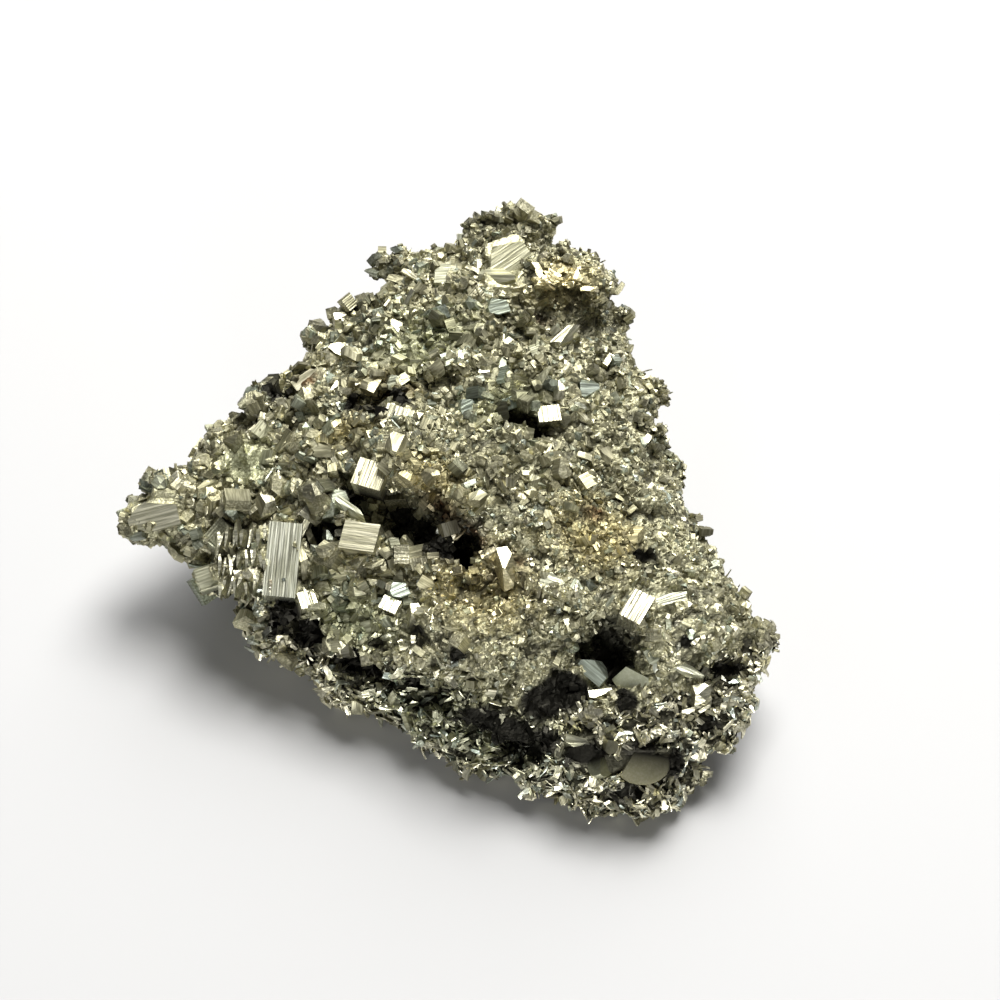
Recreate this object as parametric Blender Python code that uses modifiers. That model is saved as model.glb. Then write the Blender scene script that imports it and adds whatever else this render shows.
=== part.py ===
"""Pyrite specimen: one hand-sized lump of pyrite crystals grown into each other, about 65 mm across.

The lump is a rough three-cornered block. Its plan outline and the heights of its top and underside are
given at named places, rounded lumps are joined on and crevices are cut in. The skin is broken into small
tilted facets, and straight-sided crystals are fused to it. It rests on a flat patch of its underside.
"""

import math
import random

import bmesh
import bpy
import numpy as np
from mathutils import Euler, Matrix, Vector, noise

MM = 0.001
NODE = "pyrite_cluster"

# ---- Block: plan outline, seen from above, anticlockwise from the left nose (mm)
PLAN_CENTRE = (1.5, -3.0)
OUTLINE = [
    (-31.6, -3.2), (-31.0, -4.8), (-28.0, -5.6), (-23.6, -7.2), (-20.6, -10.6), (-17.8, -14.2), (-13.4, -15.8),
    (-8.4, -19.4), (-1.8, -23.2), (3.7, -27.0), (10.5, -29.6), (16.4, -31.0), (20.4, -30.8), (23.4, -28.6),
    (25.2, -25.8), (27.2, -22.0), (30.6, -17.2), (30.4, -14.6), (27.4, -11.0), (24.8, -6.4), (23.4, -0.6),
    (21.8, 4.8), (19.8, 11.6), (17.4, 19.0), (14.4, 25.4), (10.2, 28.8), (7.0, 30.8), (3.2, 30.8), (-1.2, 27.4),
    (-5.2, 25.6), (-9.4, 21.2), (-14.0, 15.4), (-16.6, 11.4), (-19.6, 7.6), (-23.0, 3.4), (-27.4, 0.8), (-30.4, -0.8),
]  # fmt: skip

# ---- Block: heights of the top (mm), as x, y, z
TOP_SPOTS = [
    (-31.0, -2.6, 13.6),  # left nose
    (-27.5, -1.4, 14.8),
    (-24.0, -3.6, 14.2),
    (-22.0, 2.4, 16.2),
    (-19.5, -8.6, 12.6),  # striated block
    (-17.0, 6.0, 17.6),  # left rim
    (-13.0, 13.0, 18.0),
    (-8.0, 21.0, 18.4),
    (-2.0, 26.0, 18.8),
    (4.0, 28.5, 19.6),  # far apex
    (10.5, 27.0, 19.4),
    (15.5, 22.0, 18.4),  # right shoulder
    (18.0, 12.0, 17.6),
    (20.0, 3.0, 17.4),
    (22.0, -6.0, 16.0),
    (26.5, -12.5, 14.0),
    (30.0, -17.0, 11.6),  # right corner
    (28.0, -22.5, 9.0),
    (24.0, -27.0, 7.0),
    (19.0, -28.4, 7.6),  # front nose
    (12.0, -26.0, 9.6),
    (2.0, -22.4, 12.2),  # front ledge
    (-5.0, -18.6, 12.6),
    (-12.0, -14.6, 12.8),
    (-11.5, -8.6, 15.2),  # low shelf of big crystals
    (-5.0, -13.6, 15.4),
    (2.5, -15.0, 16.6),
    (-14.0, 0.6, 18.2),
    (-7.0, 1.0, 21.4),  # plateau
    (-1.0, -3.0, 22.4),
    (5.5, -8.0, 21.2),
    (3.0, 5.0, 22.2),
    (11.0, -2.0, 21.4),
    (11.5, 8.0, 20.8),
    (2.0, 15.0, 20.6),
    (11.0, -14.0, 18.6),
    (18.0, -17.0, 16.4),
    (21.0, -22.0, 12.6),
]

# ---- Block: heights of the underside (mm), below 0 where the lump rests
UNDER_SPOTS = [
    (-32.0, -4.0, 8.8),  # underside of the left nose
    (-27.0, -4.0, 7.4),
    (-23.0, 1.0, 5.2),
    (-22.0, -8.0, 5.0),
    (-17.0, -12.5, 1.8),
    (-17.0, 6.0, 1.6),
    (-10.0, -16.0, -0.6),
    (-9.0, 18.0, 1.2),
    (-1.0, -20.0, -0.4),
    (6.0, -25.0, 0.2),
    (4.0, 27.0, 0.8),
    (16.0, -28.0, -0.8),
    (22.0, -28.0, -0.4),
    (12.0, 22.0, -0.6),
    (18.0, 4.0, 0.6),
    (25.0, -10.0, 1.4),
    (29.0, -18.0, 3.4),
    (28.0, -24.0, 1.8),
    (0.0, 0.0, -0.8),
    (8.0, -12.0, -0.8),
    (6.0, 12.0, -0.8),
]

GIRTH = 0.58  # how far up the flank the outline lies
FLANK_SQUARE = 0.36  # 1 is a ball's flank, and near 0 an upright wall

# ---- Rounded lumps joined to the block (mm): x, y, z, then half sizes, then turn in plan (degrees)
LUMPS = [
    (-30.4, -3.2, 11.4, 2.3, 2.5, 2.9, 0),  # nose tip
    (-27.2, -0.6, 12.6, 3.2, 2.4, 3.0, 20),
    (-22.6, 3.0, 13.6, 2.6, 2.4, 2.8, 0),
    (-4.0, 24.8, 16.0, 2.2, 1.8, 3.0, 0),
    (3.6, 29.2, 17.0, 3.0, 2.4, 3.4, 10),  # apex, two lobes
    (8.4, 29.0, 16.6, 2.8, 2.4, 3.4, -20),
    (12.2, 21.8, 18.6, 5.2, 4.4, 4.0, -20),  # dome beside the apex
    (19.4, 10.4, 13.6, 2.2, 3.6, 3.6, 10),
    (-3.6, -3.4, 19.4, 5.0, 2.6, 3.0, -38),  # lip of the plateau
    (2.6, -7.4, 18.8, 4.6, 2.6, 2.8, -34),
    (3.6, -19.4, 12.6, 6.2, 4.4, 4.4, -14),  # sparkling swelling above the front ledge
    (12.0, -15.6, 15.2, 5.6, 4.4, 3.8, -20),
    (22.0, -17.0, 12.6, 5.4, 4.2, 3.6, -30),
    (30.4, -16.6, 9.4, 2.4, 2.6, 2.8, 0),  # right corner and the knobs below it
    (27.6, -22.2, 7.0, 2.0, 2.0, 2.4, 0),
    (25.8, -24.8, 5.4, 1.8, 1.8, 2.2, 0),
    (19.6, -29.2, 3.4, 3.6, 2.4, 3.2, 0),  # front nose
    (-16.6, -12.4, 5.0, 3.0, 2.4, 3.0, -10),
]

# ---- Crevices and pits (mm): x, y, z, then half length, width and depth, then turn in plan and lean (degrees)
CREVICES = [
    (-8.2, -5.4, 17.2, 4.0, 1.8, 4.4, -34, -24),  # main crevice under the plateau's lip
    (-3.6, -8.3, 16.2, 4.8, 2.1, 4.8, -34, -26),
    (1.4, -11.2, 15.2, 3.0, 2.0, 4.2, -40, -20),
    (-12.2, -6.9, 15.2, 3.8, 1.5, 3.6, -46, 0),
    (16.0, -20.4, 13.8, 3.4, 2.6, 5.0, -48, -10),  # deep hole at the right
    (9.4, -25.2, 11.4, 4.6, 1.2, 3.4, 4, -50),
    (13.4, -22.8, 12.6, 2.2, 1.2, 2.6, -40, -30),
    (-14.4, -16.0, 9.0, 4.6, 1.9, 3.4, -16, -84),  # dark band below the front ledge
    (-8.2, -19.2, 8.4, 3.6, 1.5, 3.2, -22, -84),
    (-1.8, -22.2, 8.2, 3.6, 1.4, 3.0, -24, -84),
    (5.4, -26.4, 6.4, 5.6, 1.6, 3.6, -20, -84),
    (15.6, -29.6, 7.4, 2.6, 1.4, 2.8, -10, -70),
    (23.0, -29.4, 5.0, 2.2, 1.5, 2.6, 20, -70),
    (7.6, 16.4, 18.8, 3.0, 1.1, 2.6, 4, -40),  # gap below the dome
    (13.6, 17.0, 18.6, 2.8, 1.0, 2.8, -18, -40),
    (-7.0, 4.4, 19.8, 3.2, 1.5, 2.4, 8, 0),
    (-16.4, 8.4, 17.0, 1.5, 1.2, 2.8, 30, 0),  # hole in the left rim
    (7.6, 1.0, 21.2, 3.4, 1.3, 2.4, -30, 0),
    (19.6, -12.6, 17.0, 1.5, 1.0, 2.4, 0, 0),
    (23.2, -20.4, 13.2, 1.1, 0.9, 2.2, 0, 0),
    (26.4, -21.4, 11.2, 2.6, 1.3, 2.8, 50, -20),
    (-6.2, 23.6, 17.6, 2.0, 1.1, 2.4, -60, 0),
    (11.8, 9.4, 20.0, 1.4, 1.0, 2.0, -50, 0),
    (-13.0, -12.0, 12.2, 1.6, 1.2, 2.6, 0, 0),
    (-9.4, -13.6, 12.4, 1.8, 1.0, 2.4, -40, 0),
    (-15.4, -4.2, 16.6, 2.0, 0.9, 2.0, -12, 0),
    (-24.2, -8.4, 7.6, 3.4, 1.4, 2.8, -24, -84),
]

# ---- Large crystals (mm): x, y, z of the centre, then length, width and height, then tilts about X, Y and Z (degrees)
CRYSTALS = [
    (-16.9, -9.0, 11.2, 4.8, 4.0, 7.0, 24, 4, -10),  # upright striated block on the left
    (-20.6, -8.8, 11.0, 3.4, 3.6, 6.4, 26, -8, -18),
    (-22.6, -7.6, 6.6, 4.2, 3.2, 3.4, 38, 24, 20),
    (-29.0, -3.8, 11.9, 4.6, 3.0, 3.0, 14, -6, 14),
    (-7.7, -9.6, 14.8, 3.9, 3.6, 4.0, 22, -12, -22),
    (-7.3, -4.6, 18.8, 3.3, 3.0, 3.2, 14, 18, -12),
    (-12.6, -5.8, 16.0, 3.2, 2.6, 2.8, 30, 20, 34),
    (-9.3, -6.6, 16.4, 3.6, 1.4, 2.2, 10, 8, -36),
    (-13.2, -14.2, 11.6, 2.4, 2.4, 2.6, 20, -14, 18),
    (-5.2, -14.6, 14.8, 2.0, 2.0, 2.2, 30, 10, 30),
    (-5.4, -16.4, 13.6, 2.6, 2.2, 2.4, 18, 14, -24),
    (-2.9, -17.2, 13.2, 1.2, 1.8, 3.6, 16, 8, 10),
    (-1.2, -16.8, 13.6, 1.8, 1.6, 2.6, 24, -8, -16),
    (5.9, -14.2, 17.6, 2.0, 2.4, 3.6, -18, 10, -20),
    (10.6, -15.9, 17.6, 2.5, 2.4, 2.6, 12, 6, -14),
    (18.2, -17.6, 15.4, 2.4, 3.2, 3.2, 20, 18, -28),
    (14.0, -22.6, 11.9, 3.4, 2.2, 2.4, 26, 20, -44),
    (14.6, -24.9, 10.4, 2.6, 2.0, 2.2, 34, 0, 12),
    (19.2, -28.6, 5.9, 5.4, 3.0, 3.0, 34, -4, 6),
    (14.4, -28.6, 5.9, 4.4, 3.0, 3.0, 40, 16, -18),
    (16.6, -28.0, 8.0, 1.9, 1.8, 2.2, 20, 10, 20),
    (11.9, 13.5, 19.6, 3.8, 1.6, 1.8, 0, -10, 44),
    (-0.3, 22.2, 18.7, 2.5, 2.6, 2.8, 8, -4, -6),
    (4.2, 16.6, 19.6, 2.2, 2.0, 2.0, 12, 16, 30),
    (5.9, 25.4, 19.0, 4.6, 4.0, 2.4, 16, -6, 24),
    (-13.7, 10.4, 16.4, 3.2, 3.0, 2.6, -6, -12, 40),
    (-6.3, 6.8, 20.2, 2.4, 2.2, 2.2, 26, 18, 28),
    (-10.9, 18.4, 17.0, 1.8, 2.0, 2.0, 10, 20, 14),
    (-10.8, 13.2, 17.6, 2.6, 1.8, 2.0, 12, -10, -24),
    (1.8, 3.8, 21.0, 2.2, 2.4, 2.2, 24, 16, 40),
    (13.6, 6.8, 19.6, 2.2, 2.6, 2.2, 14, 24, 12),
    (3.8, 6.8, 21.2, 1.4, 2.4, 2.0, 18, -16, -20),
    (14.0, -4.8, 20.2, 2.2, 1.8, 1.8, 20, 10, 40),
    (-30.4, -1.6, 11.4, 2.4, 2.2, 2.4, 30, 30, 20),
    (-17.6, 3.6, 16.8, 2.4, 2.2, 2.2, 20, -20, 50),
]

# ---- Skin: blunt crystals grown into each other all over the block
COARSE_GRID = 0.9 * MM  # the grid on which lumps and block become one skin
FINE_GRID = 0.45 * MM  # the grid on which the skin's own crystals become part of it
ROUGH_CELLS = ((6.0, 0.7),)  # mm: size of the tilted facets under them, and how far those stand in or out
SWELL = (11.0, 0.7)  # mm: breadth and height of the slow swells between
BLUNT_CRYSTALS = 1300
BLUNT_EDGE = 1.8  # mm, where no zone is named below
CREVICE_CLEAR = 1.25  # blunt crystals keep this far out of a crevice, in parts of its size
BLUNT_ZONES = [  # mm: x, y, reach, then the edge of the crystals there
    (-12.0, -8.0, 11.0, 2.8),  # shelf of big crystals
    (0.0, -1.0, 7.0, 1.4),  # plateau
    (-12.0, 12.0, 9.0, 2.4),  # left rim
    (-2.0, 20.0, 8.0, 2.4),
    (8.0, 5.0, 8.0, 2.4),
    (19.0, 4.0, 12.0, 1.6),  # right shoulder, finely grained
    (4.0, -19.0, 8.0, 1.5),  # sparkling swelling
    (24.0, -20.0, 10.0, 1.7),
]
SKIN_TRIANGLES = 6300

# ---- Small sharp crystals
SMALL_CRYSTALS = 42
SMALL_SIZE = (1.5, 2.7)  # mm, least and greatest edge
SEAT = 0.12  # least depth of a large crystal's centre below the skin, in parts of its least size
CLEAR_OF_LARGE = 2.2  # mm, from a large crystal's centre
SEED = 11


def clear_scene():
    for obj in list(bpy.data.objects):
        bpy.data.objects.remove(obj)


def new_collection(name, parent=None):
    collection = bpy.data.collections.new(name)
    (parent or bpy.context.scene.collection).children.link(collection)
    return collection


def object_from(mesh_maker, name, collection):
    """A mesh object whose mesh is filled by mesh_maker(bm)."""
    bm = bmesh.new()
    mesh_maker(bm)
    mesh = bpy.data.meshes.new(name)
    bm.to_mesh(mesh)
    bm.free()
    obj = bpy.data.objects.new(name, mesh)
    collection.objects.link(obj)
    return obj


def settle(obj):
    """Gives the object the mesh that its modifiers make, and removes them."""
    bpy.context.view_layer.update()
    graph = bpy.context.evaluated_depsgraph_get()
    obj.data = bpy.data.meshes.new_from_object(obj.evaluated_get(graph))
    obj.modifiers.clear()


def outline_radius(angle):
    """Distance from the plan centre to the outline in this direction, in mm."""
    cx, cy = PLAN_CENTRE
    corners = sorted((math.atan2(y - cy, x - cx), math.hypot(x - cx, y - cy)) for x, y in OUTLINE)
    angles = [a for a, _ in corners]
    radii = [r for _, r in corners]
    return float(np.interp(angle, angles, radii, period=2 * math.pi))


def height_field(spots):
    """A smooth surface (a thin plate) through the spots, as a function of plan position."""
    spots = np.array(spots, float)
    plan, heights = spots[:, :2], spots[:, 2]

    def bend(distance):
        return distance**2 * np.log(np.maximum(distance, 1e-6))

    apart = np.linalg.norm(plan[:, None] - plan[None], axis=2)
    count = len(spots)
    flat = np.hstack([np.ones((count, 1)), plan])
    system = np.block([[bend(apart) + 4.0 * np.eye(count), flat], [flat.T, np.zeros((3, 3))]])
    weights = np.linalg.solve(system, np.concatenate([heights, np.zeros(3)]))

    def height(x, y):
        near = bend(np.hypot(plan[:, 0] - x, plan[:, 1] - y))
        return float(near @ weights[:count] + weights[count] + weights[count + 1] * x + weights[count + 2] * y)

    return height


def block_maker(bm):
    """A ball whose points are moved out to the outline and to the two height fields."""
    top, under = height_field(TOP_SPOTS), height_field(UNDER_SPOTS)
    bmesh.ops.create_icosphere(bm, subdivisions=6, radius=1.0)
    for vert in bm.verts:
        x, y, z = vert.co
        angle = math.atan2(y, x)
        across = min(1.0, math.hypot(x, y)) ** FLANK_SQUARE
        up = abs(z) ** FLANK_SQUARE
        reach = outline_radius(angle) * across
        px = PLAN_CENTRE[0] + reach * math.cos(angle)
        py = PLAN_CENTRE[1] + reach * math.sin(angle)
        high, low = top(px, py), under(px, py)
        girth = low + GIRTH * (high - low)
        height = girth + (high - girth) * up if z > 0 else girth - (girth - low) * up
        vert.co = Vector((px, py, height)) * MM


def ellipsoid_maker(place, half_sizes, turn, lean=0.0):
    matrix = (
        Matrix.Translation(Vector(place) * MM)
        @ Euler((math.radians(lean), 0, math.radians(turn)), "XYZ").to_matrix().to_4x4()
        @ Matrix.Diagonal((*(Vector(half_sizes) * MM), 1))
    )

    def maker(bm):
        bmesh.ops.create_icosphere(bm, subdivisions=3, radius=1.0, matrix=matrix)

    return maker


def crystal_maker(place, size, turns):
    """A straight-sided crystal: a cube stretched to its size, with its corners cut a little."""
    matrix = (
        Matrix.Translation(Vector(place) * MM)
        @ Euler([math.radians(a) for a in turns], "XYZ").to_matrix().to_4x4()
        @ Matrix.Diagonal((*(Vector(size) * MM), 1))
    )

    def maker(bm):
        bmesh.ops.create_cube(bm, size=1.0, matrix=matrix)

    return maker


def cell_facet(point, cell, depth):
    """How far the skin stands out, in mm, where it is broken into cells with a flat, tilted face each."""
    _, seeds = noise.voronoi(point / cell)
    seed = seeds[0]
    slope = noise.noise_vector(seed * 7.31).normalized()
    step = noise.cell(seed * 3.17)
    return depth * (1.2 * (point / cell - seed).dot(slope) + 0.8 * step)


def roughen(obj):
    """Moves each point of the skin along its normal: slow swells, then tilted facets of two sizes."""
    breadth, height = SWELL
    normals = [v.normal.copy() for v in obj.data.vertices]
    for vert, normal in zip(obj.data.vertices, normals):
        point = vert.co / MM
        out = height * noise.fractal(point / breadth, 1.0, 2.0, 3)
        for cell, depth in ROUGH_CELLS:
            out += cell_facet(point, cell, depth)
        vert.co += normal * out * MM


def add_remesh(obj, grid):
    remesh = obj.modifiers.new("One skin", "REMESH")
    remesh.mode = "VOXEL"
    remesh.voxel_size = grid
    settle(obj)


def join_in(obj, others):
    """Puts the meshes of the others into this one, still overlapping."""
    bm = bmesh.new()
    bm.from_mesh(obj.data)
    for other in others:
        bm.from_mesh(other.data)
    bm.to_mesh(obj.data)
    bm.free()


def blunt_edge(place):
    """Edge length, in mm, of the skin's crystals at this place."""
    edge, weight = BLUNT_EDGE, 1.0
    for x, y, reach, zone_edge in BLUNT_ZONES:
        near = 3.0 * math.exp(-(((place.x - x) ** 2 + (place.y - y) ** 2) / reach**2) * 2.0)
        edge += near * zone_edge
        weight += near
    return edge / weight


def in_the_open(place):
    """Whether a place (mm) is clear of the crevices and of the large crystals."""
    for x, y, z, rx, ry, rz, turn, lean in CREVICES:
        frame = Euler((math.radians(lean), 0, math.radians(turn)), "XYZ").to_matrix()
        inside = frame.inverted() @ (place - Vector((x, y, z)))
        if Vector((inside.x / rx, inside.y / ry, inside.z / rz)).length < CREVICE_CLEAR:
            return False
    return all((place - Vector(c[:3])).length > 0.55 * max(c[3:6]) for c in CRYSTALS)


def grow_skin(obj, helpers):
    """Covers the block with blunt crystals that overlap, and makes one skin of them."""
    rng = random.Random(SEED + 1)
    polygons = [p for p in obj.data.polygons if in_the_open(p.center / MM)]
    areas = [p.area for p in polygons]
    blunt = []
    for number in range(BLUNT_CRYSTALS):
        polygon = rng.choices(polygons, areas)[0]
        edge = blunt_edge(polygon.center / MM) * rng.uniform(0.7, 1.35)
        size = [edge * rng.uniform(0.7, 1.3) for _ in range(3)]
        place = (polygon.center - polygon.normal * 0.26 * edge * MM) / MM
        turns = [rng.uniform(0, 360) for _ in range(3)]
        blunt.append(object_from(crystal_maker(place, size, turns), f"blunt_{number}", helpers))
    join_in(obj, blunt)
    for crystal in blunt:
        bpy.data.objects.remove(crystal)
    add_remesh(obj, FINE_GRID)


def cut(obj, cutters):
    boolean = obj.modifiers.new("Crevices", "BOOLEAN")
    boolean.operation = "DIFFERENCE"
    boolean.operand_type = "COLLECTION"
    boolean.collection = cutters
    settle(obj)


def fuse(obj, crystals):
    boolean = obj.modifiers.new("Crystals", "BOOLEAN")
    boolean.operation = "UNION"
    boolean.operand_type = "COLLECTION"
    boolean.collection = crystals
    boolean.use_self = True
    settle(obj)


def drop_chips(obj):
    """Leaves only the largest connected body: chips that a cut frees are not part of the lump."""
    bm = bmesh.new()
    bm.from_mesh(obj.data)
    left = set(bm.verts)
    bodies = []
    while left:
        body = {left.pop()}
        edge_of_body = list(body)
        while edge_of_body:
            vert = edge_of_body.pop()
            for edge in vert.link_edges:
                other = edge.other_vert(vert)
                if other in left:
                    left.remove(other)
                    body.add(other)
                    edge_of_body.append(other)
        bodies.append(body)
    bodies.sort(key=len)
    chips = [v for body in bodies[:-1] for v in body]
    bmesh.ops.delete(bm, geom=chips, context="VERTS")
    bm.to_mesh(obj.data)
    bm.free()


def seated(obj, place, depth):
    """The place moved along the skin's normal until it lies this far (mm) below the skin."""
    at = Vector(place) * MM
    _, skin, normal, _ = obj.closest_point_on_mesh(at)
    return (at - normal * ((at - skin).dot(normal) + depth * MM)) / MM


def thin_out(obj, triangles):
    decimate = obj.modifiers.new("Flat faces", "DECIMATE")
    decimate.ratio = triangles / (2 * len(obj.data.polygons))
    decimate.use_collapse_triangulate = True
    settle(obj)


def flatten_base(obj, cutters):
    """Cuts the lump level at the height it rests on."""
    side = 100.0
    ground = object_from(
        lambda bm: bmesh.ops.create_cube(bm, size=side * MM, matrix=Matrix.Translation((0, 0, -side * MM / 2))),
        "ground_cutter",
        cutters,
    )
    boolean = obj.modifiers.new("Base", "BOOLEAN")
    boolean.operation = "DIFFERENCE"
    boolean.object = ground
    settle(obj)


def centre_on_base(obj):
    """Moves the mesh so that the middle of its box, seen from above, is over the origin."""
    xs = [v.co.x for v in obj.data.vertices]
    ys = [v.co.y for v in obj.data.vertices]
    middle = Vector(((min(xs) + max(xs)) / 2, (min(ys) + max(ys)) / 2, 0))
    obj.data.transform(Matrix.Translation(-middle))


def small_crystals(obj, collection):
    """Crystals scattered over the skin, each with its centre just below it."""
    rng = random.Random(SEED)
    polygons = [p for p in obj.data.polygons if p.center.z > 5 * MM]
    areas = [p.area for p in polygons]
    taken = [Vector(c[:3]) * MM for c in CRYSTALS]
    made = 0
    while made < SMALL_CRYSTALS:
        polygon = rng.choices(polygons, areas)[0]
        edge = rng.uniform(*SMALL_SIZE)
        if any((polygon.center - place).length < CLEAR_OF_LARGE * MM for place in taken):
            continue
        taken.append(polygon.center.copy())
        size = [edge * rng.uniform(0.75, 1.3) for _ in range(3)]
        place = (polygon.center - polygon.normal * 0.16 * edge * MM) / MM
        turns = [rng.uniform(0, 360) for _ in range(3)]
        object_from(crystal_maker(place, size, turns), f"small_crystal_{made:03d}", collection)
        made += 1


def pyrite_material():
    material = bpy.data.materials.new("pyrite")
    material.use_nodes = True
    shader = material.node_tree.nodes["Principled BSDF"]
    shader.inputs["Base Color"].default_value = (0.42, 0.38, 0.27, 1)
    shader.inputs["Metallic"].default_value = 1.0
    shader.inputs["Roughness"].default_value = 0.38
    return material


def main():
    clear_scene()
    noise.seed_set(SEED)
    model = new_collection(NODE)
    helpers = new_collection("cutters")
    crevices = new_collection("crevices", helpers)
    crystals = new_collection("crystals", helpers)

    body = object_from(block_maker, NODE, model)
    lumps = [
        object_from(ellipsoid_maker((x, y, z), (rx, ry, rz), turn), f"lump_{number}", helpers)
        for number, (x, y, z, rx, ry, rz, turn) in enumerate(LUMPS)
    ]
    join_in(body, lumps)
    add_remesh(body, COARSE_GRID)

    for number, (x, y, z, rx, ry, rz, turn, lean) in enumerate(CREVICES):
        object_from(ellipsoid_maker((x, y, z), (rx, ry, rz), turn, lean), f"crevice_{number}", crevices)
    cut(body, crevices)
    add_remesh(body, COARSE_GRID)
    roughen(body)
    grow_skin(body, helpers)
    thin_out(body, SKIN_TRIANGLES)

    for number, (x, y, z, sx, sy, sz, ax, ay, az) in enumerate(CRYSTALS):
        place = seated(body, (x, y, z), SEAT * min(sx, sy, sz))
        object_from(crystal_maker(place, (sx, sy, sz), (ax, ay, az)), f"large_crystal_{number}", crystals)
    small_crystals(body, crystals)
    fuse(body, crystals)
    flatten_base(body, helpers)
    drop_chips(body)
    centre_on_base(body)
    body.data.materials.clear()
    body.data.materials.append(pyrite_material())

    for helper in helpers.all_objects:
        helper.hide_render = True
        helper.display_type = "WIRE"


main()
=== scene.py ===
# %% [markdown]
# # A lump of pyrite
# Pyrite grows as cubes, and as twelve-sided crystals with five-cornered faces. In a lump like this one
# thousands of them have grown into each other, so the skin is a crust of small shining faces with a few
# large ruled cubes standing out of it. The solid lump from the CAD model already has the form: the nose, the
# ledges, the crevices and the coarse blocks. This lesson gives it its crust.

# %% Load the solid lump
import math

import bmesh
import bpy
import numpy as np
from mathutils import Euler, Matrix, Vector
from mathutils.bvhtree import BVHTree


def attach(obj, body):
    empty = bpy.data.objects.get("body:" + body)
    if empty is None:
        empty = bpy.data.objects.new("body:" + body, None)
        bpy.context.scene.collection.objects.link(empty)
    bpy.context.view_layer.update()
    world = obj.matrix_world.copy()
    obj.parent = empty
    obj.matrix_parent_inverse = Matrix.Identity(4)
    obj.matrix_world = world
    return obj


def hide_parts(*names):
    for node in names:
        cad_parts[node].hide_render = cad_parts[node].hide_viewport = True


MM = 0.001
NODE = "pyrite_cluster"
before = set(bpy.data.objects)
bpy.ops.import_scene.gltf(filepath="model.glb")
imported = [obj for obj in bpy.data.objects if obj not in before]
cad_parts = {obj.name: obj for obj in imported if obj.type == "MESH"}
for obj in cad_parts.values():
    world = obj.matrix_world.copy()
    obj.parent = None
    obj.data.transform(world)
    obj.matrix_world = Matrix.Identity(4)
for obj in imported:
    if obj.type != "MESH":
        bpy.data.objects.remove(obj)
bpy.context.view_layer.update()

# %% [markdown]
# ## Small helpers
# An operator works on whatever is selected, so every step starts from an empty selection. Modifiers are
# applied as soon as they are set, because later steps need the finished mesh.


# %% Helpers for selecting and applying
def pick(obj):
    """Selects this object alone and makes it the active one."""
    bpy.ops.object.select_all(action="DESELECT")
    obj.select_set(True)
    bpy.context.view_layer.objects.active = obj


def apply_all(obj):
    """Applies the object's modifiers in order."""
    pick(obj)
    for modifier in list(obj.modifiers):
        bpy.ops.object.modifier_apply(modifier=modifier.name)


def triangles(obj):
    return sum(len(p.vertices) - 2 for p in obj.data.polygons)


def ramp(values, low, high):
    """0 below low, 1 above high, smooth between."""
    t = np.clip((values - low) / (high - low), 0, 1)
    return t * t * (3 - 2 * t)


# %% [markdown]
# ## Where things are
# The lump isn't the same all over. Crevices are painted nearly black as shade and hold few grains. Some
# places are stained rust brown, shine a warmer yellow or look olive, some are tarnished and others fresh,
# the fresh ones on the front also brightened as painted light, and a few broad crystal faces are bare.
# Painting a map by hand would do it, but a map needs the mesh unfolded. Instead each such place is an
# ellipsoid in space: a centre, three half sizes, a turn about the upright axis and a lean about the axis that
# runs to the right. Nearly all the voids lean alike, to face someone in front.

# %% Named places, in millimetres and degrees
CREVICES = [  # hollows whose painted shade deepens towards their bottom
    (-8.2, -5.2, 17.2, 4.0, 1.8, 4.4, -34, -24),
    (-3.6, -8.1, 16.2, 4.8, 2.1, 4.8, -34, -26),
    (1.4, -11.0, 15.2, 3.0, 2.0, 4.2, -40, -20),
    (-12.2, -6.7, 15.2, 3.8, 1.5, 3.6, -46, 0),
    (16.0, -20.2, 13.8, 3.4, 2.6, 5.0, -48, -10),
    (9.4, -25.0, 11.4, 4.6, 1.2, 3.4, 4, -50),
    (13.4, -22.6, 12.6, 2.2, 1.2, 2.6, -40, -30),
    (-14.4, -15.8, 9.0, 4.6, 1.9, 3.4, -16, -84),
    (-8.2, -19.0, 8.4, 3.6, 1.5, 3.2, -22, -84),
    (-1.8, -22.0, 8.2, 3.6, 1.4, 3.0, -24, -84),
    (5.4, -26.2, 6.4, 5.6, 1.6, 3.6, -20, -84),
    (15.6, -29.4, 7.4, 2.6, 1.4, 2.8, -10, -70),
    (23.0, -29.2, 5.0, 2.2, 1.5, 2.6, 20, -70),
    (7.6, 16.6, 18.8, 3.0, 1.1, 2.6, 4, -40),
    (13.6, 17.2, 18.6, 2.8, 1.0, 2.8, -18, -40),
    (-7.0, 4.6, 19.8, 3.2, 1.5, 2.4, 8, 0),
    (-16.4, 8.6, 17.0, 1.5, 1.2, 2.8, 30, 0),
    (7.6, 1.2, 21.2, 3.4, 1.3, 2.4, -30, 0),
    (19.6, -12.4, 17.0, 1.5, 1.0, 2.4, 0, 0),
    (23.2, -20.2, 13.2, 1.1, 0.9, 2.2, 0, 0),
    (26.4, -21.2, 11.2, 2.6, 1.3, 2.8, 50, -20),
    (-6.2, 23.8, 17.6, 2.0, 1.1, 2.4, -60, 0),
    (11.8, 9.6, 20.0, 1.4, 1.0, 2.0, -50, 0),
    (-13.0, -11.8, 12.2, 1.6, 1.2, 2.6, 0, 0),
    (-9.4, -13.4, 12.4, 1.8, 1.0, 2.4, -40, 0),
    (-15.4, -4.0, 16.6, 2.0, 0.9, 2.0, -12, 0),
    (-24.2, -8.2, 7.6, 3.4, 1.4, 2.8, -24, -84),
]
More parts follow.
